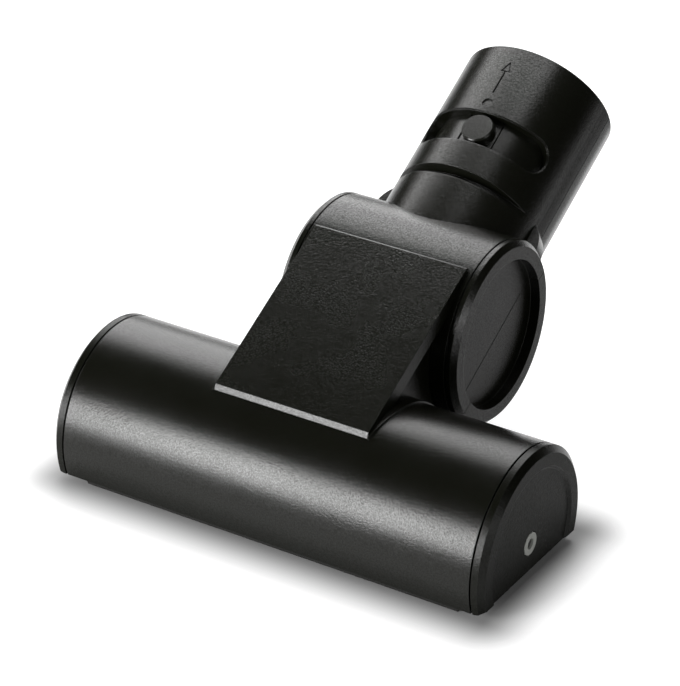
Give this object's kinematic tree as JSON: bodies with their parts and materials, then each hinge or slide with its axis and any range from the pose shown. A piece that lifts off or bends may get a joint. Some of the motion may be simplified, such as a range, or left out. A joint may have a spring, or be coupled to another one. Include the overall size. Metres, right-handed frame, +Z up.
{
  "type": "vacuum turbo brush",
  "caption": "Hand-held turbo brush for a vacuum cleaner: arched head over a belt-driven bristle roller, drum with an air turbine, and a swivelling neck with a wand socket.",
  "frame": {"origin": "on the floor, in the middle of the footprint, with the head resting on its sole", "axes": "+X along the roller to the viewer's right, +Y from the head back to the neck, +Z up"},
  "size_m": [0.135, 0.1594, 0.0961],
  "materials": {
    "head_cover": "satin black moulded plastic with a fine grain",
    "bridge_cover": "matt black plastic with a leather grain",
    "sole_plate": "matt black moulded plastic",
    "sole_screws": "zinc plated steel",
    "end_cap_left": "satin black moulded plastic with a fine grain",
    "end_cap_right": "satin black moulded plastic with a fine grain",
    "axle_bushes": "light grey slippery plastic",
    "roller_axle": "ground steel rod, dull at its ends",
    "roller_core": "dark grey moulded plastic",
    "bristle_tufts": "black nylon bristle",
    "drive_belt": "matt black rubber",
    "turbine_housing_left": "dark grey moulded plastic",
    "turbine_housing_right": "dark grey moulded plastic",
    "belt_cover": "dark grey moulded plastic",
    "housing_screws": "zinc plated steel",
    "shaft_bearings": "polished steel",
    "turbine_shaft": "ground steel rod, dull at its ends",
    "turbine_wheel": "natural white plastic",
    "turbine_pinion": "sintered metal",
    "neck_shell_front": "satin black moulded plastic with a fine grain",
    "neck_shell_rear": "satin black moulded plastic with a fine grain",
    "neck_screws": "zinc plated steel",
    "swivel_tube": "satin black moulded plastic, smooth",
    "lock_button": "satin black moulded plastic"
  },
  "bodies": {
    "head": {"head_cover": "head_cover", "bridge_cover": "bridge_cover", "sole_plate": "sole_plate", "sole_screws": "sole_screws", "end_cap_left": "end_cap_left", "end_cap_right": "end_cap_right", "axle_bushes": "axle_bushes", "roller_axle": "roller_axle", "drive_belt": "drive_belt", "turbine_housing_left": "turbine_housing_left", "turbine_housing_right": "turbine_housing_right", "belt_cover": "belt_cover", "housing_screws": "housing_screws", "shaft_bearings": "shaft_bearings"},
    "roller": {"roller_core": "roller_core", "bristle_tufts": "bristle_tufts"},
    "turbine": {"turbine_shaft": "turbine_shaft", "turbine_wheel": "turbine_wheel", "turbine_pinion": "turbine_pinion"},
    "neck": {"neck_shell_front": "neck_shell_front", "neck_shell_rear": "neck_shell_rear", "neck_screws": "neck_screws"},
    "tube": {"swivel_tube": "swivel_tube"},
    "button": {"lock_button": "lock_button"}
  },
  "joints": [
    {"name": "roller_spin", "type": "hinge", "parent": "head", "child": "roller", "pos_m": [0, -0.05293, 0.0115], "axis": [1, 0, 0], "continuous": true},
    {"name": "turbine_spin", "type": "hinge", "parent": "head", "child": "turbine", "pos_m": [0, -0.00173, 0.03895], "axis": [1, 0, 0], "continuous": true},
    {"name": "neck_swivel", "type": "hinge", "parent": "head", "child": "neck", "pos_m": [0, -0.00173, 0.03895], "axis": [1, 0, 0], "range_deg": [-30, 30]},
    {"name": "tube_swivel", "type": "hinge", "parent": "neck", "child": "tube", "pos_m": [0, 0.05159, 0.06664], "axis": [0, 0.8634, 0.5045], "range_deg": [-42, 42]},
    {"name": "button_press", "type": "hinge", "parent": "tube", "child": "button", "pos_m": [0, 0.02585, 0.07302], "axis": [1, 0, 0], "range_deg": [-10, 0], "stiffness_Nm_per_rad": 0.4}
  ],
  "couplings": [
    {"joint": "turbine_spin", "follows": "roller_spin", "ratio": 1.4167}
  ]
}
